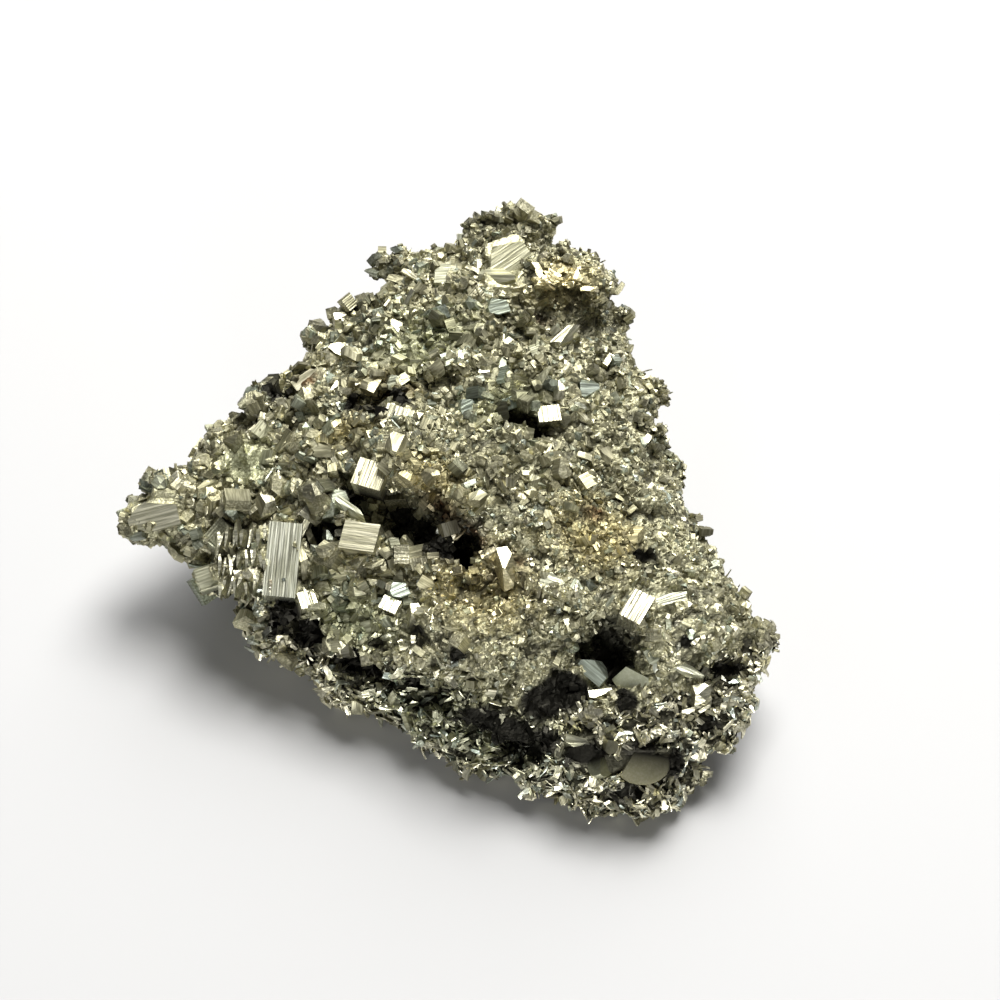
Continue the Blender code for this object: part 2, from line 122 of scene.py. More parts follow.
RUST = [  # brown stains
    (-0.6, -8.0, 19.0, 4.4, 2.2, 2.2, -34, 0),
    (2.6, -10.6, 18.4, 2.4, 2.0, 2.4, -34, 0),
    (-16.9, -11.6, 13.2, 0.9, 1.6, 2.4, 0, 0),
    (7.9, 16.6, 18.8, 3.4, 1.4, 1.8, 0, 0),
    (-5.2, 6.6, 20.0, 3.4, 2.2, 1.8, -20, 0),
    (6.4, -13.4, 17.6, 2.4, 2.0, 1.6, 0, 0),
    (14.6, -8.0, 19.4, 2.0, 1.6, 1.6, 0, 0),
    (-13.8, 9.6, 18.0, 2.0, 1.2, 1.4, 20, 0),
]
BRASSY = [  # a warmer yellow
    (3.4, -15.3, 17.0, 7.5, 6.0, 5.0, -20, 0),
    (-1.4, -5.6, 20.6, 6.0, 3.6, 4.0, -34, 0),
    (11.8, 19.6, 21.4, 5.5, 4.5, 4.0, 0, 0),
    (15.0, -10.0, 19.0, 8.0, 7.0, 4.0, 0, 0),
    (-9.0, 2.2, 20.0, 5.0, 3.0, 3.0, 0, 0),
    (-6.0, 6.4, 20.0, 5.0, 3.0, 2.6, -20, 0),
]
GREENISH = [  # an olive tint
    (-19.6, 0.6, 16.0, 4.0, 3.4, 3.0, 0, 0),
    (-2.0, 12.2, 20.5, 8.0, 6.0, 4.0, 0, 0),
    (6.0, 3.2, 21.0, 6.0, 5.0, 4.0, 0, 0),
    (-9.0, -15.3, 12.0, 7.0, 4.0, 5.0, -20, 0),
    (2.0, -24.0, 7.0, 16.0, 6.0, 5.0, -24, 0),
]
BLACK_SHADE_VOIDS = [  # gaps painted black as shade, whatever their depth, so that nothing shows in them
    (-15.6, -14.4, 10.2, 3.3, 2.4, 2.2, 0, 38),
    (-12.9, -14.4, 8.6, 2.9, 2.0, 2.2, 0, 38),
    (-8.2, -17.1, 8.1, 3.4, 2.0, 2.2, 0, 38),
    (-3.3, -17.9, 13.4, 1.3, 0.8, 1.4, 0, 38),
    (0.9, -21.9, 15.0, 1.1, 1.0, 1.2, 0, 38),
    (-2.9, -20.0, 8.0, 1.5, 1.4, 1.6, 0, 38),
    (2.8, -25.5, 9.2, 3.2, 1.5, 2.2, 0, 38),
    (5.9, -26.7, 9.2, 2.3, 1.5, 2.2, 0, 38),
    (9.0, -27.3, 8.3, 2.2, 1.3, 2.0, 0, 38),
    (9.2, -24.1, 10.3, 2.1, 1.7, 2.0, 0, 38),
    (11.4, -23.0, 10.7, 2.4, 2.0, 1.8, 0, 38),
    (17.2, -24.7, 11.3, 1.1, 1.4, 1.6, 0, 38),
    (13.3, -28.6, 8.5, 2.1, 1.1, 1.6, 0, 38),
    (18.3, -28.0, 8.0, 1.8, 0.9, 1.6, 0, 38),
    (22.1, -29.4, 7.8, 1.4, 1.6, 1.6, 0, 38),
    (17.1, -30.7, 5.0, 2.0, 0.9, 1.4, 0, 38),
    (27.0, -19.3, 9.1, 1.9, 0.9, 1.4, 0, 38),
    (22.9, -20.0, 14.4, 0.8, 0.8, 1.2, 0, 38),
    (25.3, -25.0, 7.7, 1.4, 0.7, 1.2, 0, 38),
    (19.1, -11.3, 16.5, 1.4, 0.8, 1.4, 0, 38),
    (-16.7, 7.9, 17.8, 1.7, 1.2, 2.4, 0, 38),
    (-9.4, 5.5, 19.4, 0.9, 1.2, 1.6, 0, 38),
    (-7.3, 2.3, 21.9, 1.4, 0.6, 1.2, 0, 38),
    (-4.6, 4.4, 21.8, 2.2, 0.9, 1.6, 0, 38),
    (-23.4, -8.3, 8.4, 1.2, 1.3, 1.6, 0, 38),
    (-11.4, -5.2, 14.2, 1.9, 1.2, 1.6, -40, 0),
    (-7.2, -4.6, 17.4, 1.2, 1.2, 1.8, 0, 38),
    (-5.6, -5.4, 16.2, 1.5, 1.5, 2.0, 0, 38),
    (-3.9, -6.4, 15.9, 1.5, 1.5, 2.0, 0, 38),
    (-2.4, -7.8, 15.9, 1.5, 1.5, 2.0, 0, 38),
    (-0.9, -11.0, 18.4, 1.3, 1.3, 1.6, 0, 38),
    (0.5, -11.7, 18.0, 1.3, 1.3, 1.6, 0, 38),
    (1.4, -9.8, 13.8, 1.5, 1.5, 2.0, 0, 38),
]
DULL = [  # tarnished, so less bright
    (6.0, 6.0, 21.0, 14.0, 16.0, 8.0, 0, 0),
    (16.0, -4.0, 19.0, 9.0, 9.0, 6.0, 0, 0),
]
FRESH_AND_PAINTED_LIGHT = [  # bright and clean, partly fresh metal and partly painted light on the front
    (-14.0, -11.0, 14.0, 10.0, 7.0, 6.0, -20, 0),
    (2.0, -24.0, 8.0, 22.0, 8.0, 8.0, -24, 0),
    (22.0, -22.0, 10.0, 9.0, 9.0, 8.0, 0, 0),
    (4.0, -15.0, 17.0, 10.0, 8.0, 7.0, -20, 0),
]
BARE = [  # broad crystal faces with hardly a grain on them
    (-28.8, -3.4, 14.4, 2.9, 1.9, 1.4, 12, 0),
    (-19.8, 0.4, 16.0, 2.6, 2.6, 2.0, 0, 0),
    (5.8, 25.6, 19.9, 2.7, 2.3, 1.2, 20, 0),
    (5.4, 21.8, 19.9, 2.4, 1.6, 1.2, 0, 0),
    (-13.8, 9.6, 18.4, 2.2, 1.2, 1.2, 30, 0),
    (15.6, -28.4, 8.4, 4.4, 2.0, 2.0, 0, 0),
]
print("crevices and voids:", len(CREVICES) + len(BLACK_SHADE_VOIDS), "bare faces:", len(BARE))


# %% How far inside a place a point lies
def inside(points, places, grow=1.0):
    """How deep each point (metres) lies in the places: 1 at a centre, 0 at the edge and beyond."""
    depth = np.zeros(len(points))
    for x, y, z, rx, ry, rz, turn, lean in places:
        turned = Euler((math.radians(lean), 0, math.radians(turn)), "XYZ").to_matrix()
        local = (points / MM - np.array((x, y, z))) @ np.array(turned)
        depth = np.maximum(depth, 1 - np.linalg.norm(local / (grow * np.array((rx, ry, rz))), axis=1))
    return np.clip(depth, 0, 1)


# %% [markdown]
# ## The matrix
# Between the crystals the lump is a granular mass of crystals too small to tell apart. It could be a bump
# map, but its outline would stay smooth, so it is made as real relief: a merged copy of the lump is turned
# into an even, fine grid of faces by a voxel remesh, and displaced by cell patterns of three sizes. A
# vertex group keeps the bare crystal faces nearly flat.


# %% Copy the lump and give it a fine, even grid
MATRIX_GRID = 0.35  # mm from one point of the matrix to the next
SAME_PLACE = 0.01  # mm, corners nearer than this are merged


def merged_copy(name):
    """A copy of the solid lump without its marks, with its doubled corners merged."""
    bpy.ops.object.select_all(action="DESELECT")
    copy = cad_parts[NODE].copy()
    copy.data = copy.data.copy()
    copy.name = name
    copy.parent = None
    for key in list(copy.keys()):
        del copy[key]
    bpy.context.scene.collection.objects.link(copy)
    copy.data.materials.clear()
    pick(copy)
    bpy.ops.object.mode_set(mode="EDIT")
    bpy.ops.mesh.select_all(action="SELECT")
    bpy.ops.mesh.remove_doubles(threshold=SAME_PLACE * MM)
    bpy.ops.object.mode_set(mode="OBJECT")
    return copy


def add_remesh(obj, size):
    """Adds a voxel remesh with cells of this many millimetres."""
    remesh = obj.modifiers.new("Even grid", "REMESH")
    remesh.mode = "VOXEL"
    remesh.voxel_size = size * MM


def points_of(obj):
    """The object's points as an array of rows, in metres."""
    points = np.empty(len(obj.data.vertices) * 3, np.float32)
    obj.data.vertices.foreach_get("co", points)
    return points.reshape(-1, 3).astype(float)


skin = merged_copy("pyrite_matrix")
add_remesh(skin, MATRIX_GRID)
apply_all(skin)
print("matrix grid:", len(skin.data.polygons), "faces")

# %% [markdown]
# ## Relief of three sizes
# A Voronoi texture splits space into cells, and here it rises from the edges of a cell to its middle, so
# displacing the grid by it raises round grains with narrow seams between them. Three sizes laid over each
# other look grown, where one alone looks like cobbles. How far each point has moved is kept, because the
# lowest places get painted shade later.


# %% Displace the matrix with cell patterns
def cell_pattern(name, size):
    """A Voronoi texture that rises from the cells' edges to their middles."""
    texture = bpy.data.textures.new(name, "VORONOI")
    texture.noise_scale = size
    texture.weight_1 = -1.0
    texture.weight_2 = 1.0
    texture.distance_metric = "DISTANCE_SQUARED"
    texture.noise_intensity = 2.2
    return texture


RELIEF = [(3.4, 0.80), (1.6, 0.55), (0.85, 0.30)]  # cell size and height in mm
LEVEL_KEPT = 0.6  # the brightness that moves nothing
BARE_RELIEF = 0.12  # what is left of the relief in the middle of a bare face
flat_points = points_of(skin)
flat_normals = np.empty(len(flat_points) * 3, np.float32)
skin.data.vertex_normals.foreach_get("vector", flat_normals)
rough = skin.vertex_groups.new(name="rough")
bare = inside(flat_points, BARE, 1.15)
rough.add(list(range(len(bare))), 1.0, "REPLACE")
for index in np.nonzero(bare > 0.05)[0]:
    rough.add([int(index)], max(BARE_RELIEF, 1 - 3 * bare[index]), "REPLACE")
for size, height in RELIEF:
    displace = skin.modifiers.new(f"Grains of {size} mm", "DISPLACE")
    displace.texture = cell_pattern(f"cells_{size}", size * MM)
    displace.texture_coords = "LOCAL"
    displace.strength = height * MM
    displace.mid_level = LEVEL_KEPT
    displace.vertex_group = "rough"
apply_all(skin)
skin_points = points_of(skin)
relief = ((skin_points - flat_points) * flat_normals.reshape(-1, 3)).sum(1) / MM
low_lying = 1 - ramp(relief, *np.percentile(relief, (4, 40)))
print("relief, mm:", [round(float(q), 2) for q in np.percentile(relief, (5, 25, 50, 75, 95))])
skin_points[:, 2] = np.maximum(skin_points[:, 2], 0.0)
skin.data.vertices.foreach_set("co", skin_points.astype(np.float32).ravel())
skin.data.update()
skin.data.shade_flat()
print("matrix:", triangles(skin), "triangles")

# %% [markdown]
# ## How deep a point lies
# Light hardly reaches the bottom of a gap, so the gaps are darkened in the colour as painted shade. To know
# how
# deep a point lies, the lump is closed up: a copy is swollen by a little over two millimetres, which shuts
# every narrow gap, and shrunk again by the same amount. The gaps stay shut, so the distance up to that closed
# skin is the depth. The painted shade of a point comes from its depth, more so in the named crevices, and the
# voids are painted black throughout.

# %% Close the lump up and measure depths
CLOSING = 2.2  # mm
CLOSING_GRID = 0.8  # mm
closed = merged_copy("closed_lump")
for step in (CLOSING, -CLOSING):
    swell = closed.modifiers.new("Swell or shrink", "DISPLACE")
    swell.strength = step * MM
    swell.mid_level = 0.0
    if step > 0:
        add_remesh(closed, CLOSING_GRID)
apply_all(closed)
closed_tree = BVHTree.FromPolygons(
    [v.co for v in closed.data.vertices], [tuple(p.vertices) for p in closed.data.polygons]
)
bpy.data.objects.remove(closed)


def depth_of(points):
    """Millimetres below the closed skin, 0 for points on or above it."""
    depths = np.zeros(len(points))
    for number, point in enumerate(points):
        near, normal, _, _ = closed_tree.find_nearest(point)
        depths[number] = (near - Vector(point)).dot(normal) / MM
    return np.maximum(depths, 0)


def shade_of(points, valley=0.4):
    """The painted shade of a place, from 0 in the open to 1 at the bottom of a hollow or in a void."""
    deep = ramp(depth_of(points), 0.4, 2.2)
    named = 0.98 * ramp(inside(points, CREVICES, 1.5), 0.02, 0.3)
    shade = np.maximum(valley * deep, named * deep)
    return np.maximum(shade, ramp(inside(points, BLACK_SHADE_VOIDS, 1.2), 0.03, 0.25))


# painted shade on the matrix: from depth, crevices and voids, and from the low valleys of the relief
skin_shade = np.maximum(shade_of(skin_points, 0.65), 0.8 * low_lying)
print("skin in deep shade:", round(float((skin_shade > 0.7).mean()), 3))

# %% [markdown]
# ## Cubes
# Each kind of crystal is modelled once, about one unit across, and copied by the thousand. Pyrite's own form
# is the cube. A free one has its edges cut by a bevel. The sides of many are ruled by fine growth steps. An
# array of thin plates could make them, but cutting the cube across with the bisect tool and drawing in every
# second cut keeps it one closed skin. The cuts are unevenly spaced, as the steps on a real cube are.


# %% Cubes, plain, bevelled and ruled
def start_cube(name):
    """A plain cube, one unit across."""
    bpy.ops.object.select_all(action="DESELECT")
    bpy.ops.mesh.primitive_cube_add(size=1.0)
    cube = bpy.context.object
    cube.name = name
    return cube


def bevelled_cube(name, width):
    """A cube crystal with its edges cut."""
    cube = start_cube(name)
    bpy.ops.object.mode_set(mode="EDIT")
    bpy.ops.mesh.select_all(action="SELECT")
    bpy.ops.mesh.bevel(offset=width, segments=1, affect="EDGES")
    bpy.ops.object.mode_set(mode="OBJECT")
    return cube


def ruled_cube(name, strips, groove, seed):
    """A cube crystal whose four sides are ruled by steps, as the real ones are."""
    cube = start_cube(name)
    rng = np.random.default_rng(seed)
    steps = np.cumsum(rng.uniform(0.3, 1.7, strips))
    cuts = steps[:-1] / steps[-1] - 0.5
    bpy.ops.object.mode_set(mode="EDIT")
    for cut in cuts:
        bpy.ops.mesh.select_all(action="SELECT")
        bpy.ops.mesh.bisect(plane_co=(0, 0, cut), plane_no=(0, 0, 1))
    bpy.ops.mesh.select_all(action="DESELECT")
    mesh = bmesh.from_edit_mesh(cube.data)
    for vert in mesh.verts:
        nearest = int(np.argmin(np.abs(cuts - vert.co.z)))
        vert.select_set(abs(vert.co.z) < 0.499 and nearest % 2 == 0)
    mesh.select_flush(True)
    bmesh.update_edit_mesh(cube.data)
    bpy.ops.transform.resize(value=(1 - groove, 1 - groove, 1.0))
    bpy.ops.object.mode_set(mode="OBJECT")
    return cube


def laid_over(name, master):
    """The same crystal turned so that its ruling runs across instead of round."""
    pick(master)
    bpy.ops.object.duplicate()
    turned = bpy.context.object
    turned.name = name
    turned.rotation_euler = (0, math.radians(90), 0)
    bpy.ops.object.transform_apply(location=False, rotation=True, scale=False)
    return turned


# %% [markdown]
# ## Crystals that had no room
# Most crystals in a lump grew against their neighbours and never got a clean form. A block is a cube with
# its corners cut off by planes that lean at random. A chip is smaller and plainer: a ball of twenty faces
# with its corners pushed about and a hull drawn round it, so that it stays closed. A few olive crystals are
# swollen and smooth, and a ball trimmed flat on three sides gives them that look.


# %% Blocks, chips and smooth crystals
def broken_block(name, cuts, seed):
    """A cube cut off by planes that lean at random."""
    block = start_cube(name)
    rng = np.random.default_rng(seed)
    bpy.ops.object.mode_set(mode="EDIT")
    for _ in range(cuts):
        lean = Vector(rng.normal(size=3)).normalized()
        bpy.ops.mesh.select_all(action="SELECT")
        bpy.ops.mesh.bisect(
            plane_co=lean * rng.uniform(0.36, 0.5), plane_no=lean, use_fill=True, clear_outer=True
        )
    bpy.ops.object.mode_set(mode="OBJECT")
    return block


def chip(name, seed):
    """A grain with no room to grow: a small ball of triangles with its corners pushed about."""
    bpy.ops.object.select_all(action="DESELECT")
    bpy.ops.mesh.primitive_ico_sphere_add(subdivisions=1, radius=0.55)
    grain = bpy.context.object
    grain.name = name
    bpy.ops.object.mode_set(mode="EDIT")
    bpy.ops.mesh.select_all(action="SELECT")
    bpy.ops.transform.vertex_random(offset=0.26, uniform=0.0, normal=0.0, seed=seed)
    bpy.ops.mesh.convex_hull()
    bpy.ops.object.mode_set(mode="OBJECT")
    return grain


def drop(name):
    """A ball cut flat at a slant on top and trimmed on two sides."""
    bpy.ops.object.select_all(action="DESELECT")
    bpy.ops.mesh.primitive_uv_sphere_add(segments=20, ring_count=12, radius=0.5)
    ball = bpy.context.object
    ball.name = name
    bpy.ops.object.mode_set(mode="EDIT")
    for middle, lean in (
        ((0, 0, 0.16), (0.1, -0.25, 1)),
        ((-0.34, 0, 0), (-1, 0.5, 0.2)),
        ((0, 0.3, 0), (0.35, 1, 0.2)),
    ):
        bpy.ops.mesh.select_all(action="SELECT")
        bpy.ops.mesh.bisect(plane_co=middle, plane_no=lean, use_fill=True, clear_outer=True)
    bpy.ops.object.mode_set(mode="OBJECT")
    return ball


# %% [markdown]
# ## The twelve-sided crystal
# Its faces have five corners each, which is hard to draw by hand. Its corners are easy to name, though:
# eight are those of a cube, and the other twelve are those of three rectangles that cross at its middle. So
# the cube and the rectangles are joined and a hull is drawn round them. The hull is all triangles, and
# dissolving the edges between flat neighbours leaves the twelve faces.


# %% The twelve-sided crystal
def twelve_sided(name):
    """The hull of a cube and three crossed rectangles."""
    solid = start_cube(name)
    ridges = []
    for turn in ((0, 0, 0), (math.pi / 2, 0, math.pi / 2), (math.pi / 2, math.pi / 2, 0)):
        bpy.ops.object.select_all(action="DESELECT")
        bpy.ops.mesh.primitive_plane_add(size=1.0)
        ridge = bpy.context.object
        ridge.scale = (1.5, 0.75, 1.0)
        bpy.ops.object.transform_apply(location=False, rotation=False, scale=True)
        ridge.rotation_euler = turn
        bpy.ops.object.transform_apply(location=False, rotation=True, scale=False)
        ridges.append(ridge)
    bpy.ops.object.select_all(action="DESELECT")
    for ridge in ridges:
        ridge.select_set(True)
    solid.select_set(True)
    bpy.context.view_layer.objects.active = solid
    bpy.ops.object.join()
    bpy.ops.object.mode_set(mode="EDIT")
    bpy.ops.mesh.select_all(action="SELECT")
    bpy.ops.mesh.convex_hull()
    bpy.ops.mesh.select_all(action="SELECT")
    bpy.ops.mesh.dissolve_limited(angle_limit=math.radians(2))
    bpy.ops.transform.resize(value=(0.75, 0.75, 0.75))
    bpy.ops.object.mode_set(mode="OBJECT")
    return solid


# %% [markdown]
# ## The leaf
# Low on the front the crystals have split into thin curled leaves. A curve with a bevel would be quick, but
# one leaf has to stay light enough for thousands of copies. So a flat strip is cut in four, and each ring of
# corners is selected by its place and moved: the middle is raised and one end is drawn in.


# %% The leaf
def leaf(name):
    """A thin curled blade, one unit long."""
    blade = start_cube(name)
    bpy.ops.object.mode_set(mode="EDIT")
    bpy.ops.mesh.select_all(action="SELECT")
    bpy.ops.transform.resize(value=(1.0, 0.27, 0.07))
    for cut in (-0.22, 0.06, 0.3):
        bpy.ops.mesh.select_all(action="SELECT")
        bpy.ops.mesh.bisect(plane_co=(cut, 0, 0), plane_no=(1, 0.15, 0))
    mesh = bmesh.from_edit_mesh(blade.data)
    for low, high, narrower, move in (
        (-0.1, 0.2, 1.1, (0.0, 0.12, 0.16)),
        (-0.35, -0.1, 1.2, (0.0, 0.07, 0.1)),
        (0.2, 0.4, 0.9, (0.0, 0.02, 0.06)),
        (0.4, 0.6, 0.35, (0.0, -0.1, -0.06)),
    ):
        for vert in mesh.verts:
            vert.select_set(low < vert.co.x < high)
        mesh.select_flush(True)
        bmesh.update_edit_mesh(blade.data)
        bpy.ops.transform.resize(value=(1.0, narrower, 1.0))
        bpy.ops.transform.translate(value=move)
    bpy.ops.object.mode_set(mode="OBJECT")
    return blade


# %% [markdown]
# ## One of each
# The blocks and the chips come in three shapes, so that neighbours differ even where they are turned alike.
# The ruled cubes come coarse and fine, and each of them upright and laid over.

# %% Model one of each kind
MASTERS = {
    "cube": bevelled_cube("master_cube", 0.06),
    "plain": start_cube("master_plain"),
    "block_a": broken_block("master_block_a", 5, 2),
    "block_b": broken_block("master_block_b", 7, 5),
    "block_c": broken_block("master_block_c", 9, 12),
    "ruled": ruled_cube("master_ruled", 13, 0.035, 1),
    "ruled_fine": ruled_cube("master_ruled_fine", 27, 0.014, 4),
    "twelve": twelve_sided("master_twelve"),
    "chip_a": chip("master_chip_a", 3),
    "chip_b": chip("master_chip_b", 8),
    "chip_c": chip("master_chip_c", 14),
    "drop": drop("master_drop"),
    "leaf": leaf("master_leaf"),
}
MASTERS["ruled_x"] = laid_over("master_ruled_x", MASTERS["ruled"])
MASTERS["ruled_fine_x"] = laid_over("master_ruled_fine_x", MASTERS["ruled_fine"])
for name, master in MASTERS.items():
    print(name, len(master.data.polygons), "faces,", triangles(master), "triangles")


# %% [markdown]
# ## Copying by array
# A particle system would leave instances, which other programs can't read, so the copies are joined into
# one plain mesh. The master's points are turned, stretched and moved with arrays, once for every copy. Each
# copy also gets two numbers: its tone, which the material turns into a duller or brighter metal, and how
# cool its colour is, from straw to blue grey. Its points keep their own places from before the turn too. The
# material draws the fine streaks along those, so they follow each crystal's ruling however it lies.


# %% Turns for the copies
def random_turns(count, rng):
    """As many rotation matrices, all directions equally likely."""
    q = rng.normal(size=(count, 4))
    q /= np.linalg.norm(q, axis=1)[:, None]
    w, x, y, z = q.T
    return np.stack(
        [
            np.stack([1 - 2 * (y * y + z * z), 2 * (x * y - z * w), 2 * (x * z + y * w)], 1),
            np.stack([2 * (x * y + z * w), 1 - 2 * (x * x + z * z), 2 * (y * z - x * w)], 1),
            np.stack([2 * (x * z - y * w), 2 * (y * z + x * w), 1 - 2 * (x * x + y * y)], 1),
        ],
        1,
    )


def laid_flat(normals, rng, lean):
    """Turns that lay each copy's flat side on the skin, more or less."""
    up = normals + lean * rng.normal(size=normals.shape)
    up /= np.linalg.norm(up, axis=1)[:, None]
    side = np.cross(up, rng.normal(size=normals.shape))
    side /= np.linalg.norm(side, axis=1)[:, None]
    return np.stack([side, np.cross(up, side), up], 2)


# %% One mesh of many copies
ABOVE_TABLE = 0.02  # mm, no copy reaches lower than this
copies_of = {}  # by piece: the copies' middles, points in each, painted root shade of the points, valley of each


def joined_copies(name, master, places, turns, sizes, tones, cools, outward=None, valley=None):
    """Copies of the master at these places (metres), each with three lengths (metres) and a turn."""
    mesh = master.data
    points = np.array([v.co for v in mesh.vertices])
    corners = np.array([i for p in mesh.polygons for i in p.vertices])
    totals = np.array([len(p.vertices) for p in mesh.polygons])
    count, per = len(places), len(points)
    moved = np.einsum("nij,nkj->nki", turns, points[None] * sizes[:, None]) + places[:, None]
    # painted shade: each copy darkens towards the part of it that sinks into the matrix
    root_shade = np.zeros((count, per))
    if outward is not None:
        above = np.einsum("nki,ni->nk", moved - places[:, None], outward) / sizes.mean(1)[:, None]
        root_shade = 0.5 * ramp(0.15 - above, 0.0, 0.5)
    moved[..., 2] = np.maximum(moved[..., 2], ABOVE_TABLE * MM)
    loops = (corners[None] + per * np.arange(count)[:, None]).ravel()
    loop_totals = np.tile(totals, count)
    made = bpy.data.meshes.new(name)
    made.vertices.add(count * per)
    made.vertices.foreach_set("co", moved.astype(np.float32).ravel())
    made.loops.add(len(loops))
    made.loops.foreach_set("vertex_index", loops.astype(np.int32))
    made.polygons.add(len(loop_totals))
    made.polygons.foreach_set("loop_start", (np.cumsum(loop_totals) - loop_totals).astype(np.int32))
    made.update(calc_edges=True)
    made.shade_flat()
    for label, numbers in (("tone", tones), ("cool", cools)):
        made.attributes.new(label, "FLOAT", "POINT").data.foreach_set(
            "value", np.repeat(numbers, per).astype(np.float32)
        )
    shift = np.random.default_rng(count).uniform(0, 50 * MM, (count, 1, 3))
    own = points[None] * sizes[:, None] + shift
    if master.name.endswith("_x"):  # its steps run along Y
        own = own[..., [1, 0, 2]]
    ruling = made.attributes.new("own", "FLOAT_VECTOR", "POINT")
    ruling.data.foreach_set("vector", own.astype(np.float32).ravel())
    copies_of[name] = places, per, root_shade.ravel(), np.zeros(count) if valley is None else valley
    obj = bpy.data.objects.new(name, made)
    bpy.context.scene.collection.objects.link(obj)
    print(name, count, "copies,", triangles(obj), "triangles")
    return obj


# %% [markdown]
# ## Random spots
# A scatter tool with a painted mask could choose the spots. Here a spot is drawn in two goes instead, first a
# triangle of the matrix, the larger and the more favoured the likelier, and then a point in it, because any
# rule about places can then be written into the weights. The rim that touches the table gets no spots.

# %% Choose random spots on the matrix
RIM = 0.35  # mm above the table
skin.data.calc_loop_triangles()
tri = np.empty(len(skin.data.loop_triangles) * 3, np.int32)
skin.data.loop_triangles.foreach_get("vertices", tri)
tri = tri.reshape(-1, 3)
edge_a = skin_points[tri[:, 1]] - skin_points[tri[:, 0]]
edge_b = skin_points[tri[:, 2]] - skin_points[tri[:, 0]]
across = np.cross(edge_a, edge_b)
area = np.linalg.norm(across, axis=1) / 2
tri_normal = across / (2 * area[:, None] + 1e-20)
middle = skin_points[tri].mean(1)
in_shade = skin_shade[tri].mean(1)
in_valley = low_lying[tri].mean(1)
share = np.where(middle[:, 2] > RIM * MM, area, 0)
share /= share.sum()
print("skin to cover:", round(float(area.sum()) / MM**2), "square mm")


def spots_on_skin(count, rng, weight):
    """Random places on the matrix, the skin's normals there and how low in the relief each one lies."""
    chance = share * weight
    picked = rng.choice(len(tri), count, p=chance / chance.sum())
    u, v = rng.random(count), rng.random(count)
    flip = u + v > 1
    u[flip], v[flip] = 1 - u[flip], 1 - v[flip]
    places = skin_points[tri[picked, 0]] + u[:, None] * edge_a[picked] + v[:, None] * edge_b[picked]
    return places, tri_normal[picked], in_valley[picked]


# %% [markdown]
# ## The large crystals
# Some forty crystals are large enough to be known one by one. Each is a copy of a modelled crystal,
# stretched to its own size, turned and set half into the matrix. They are listed before any grain is strewn,
# because the grains have to leave them free.

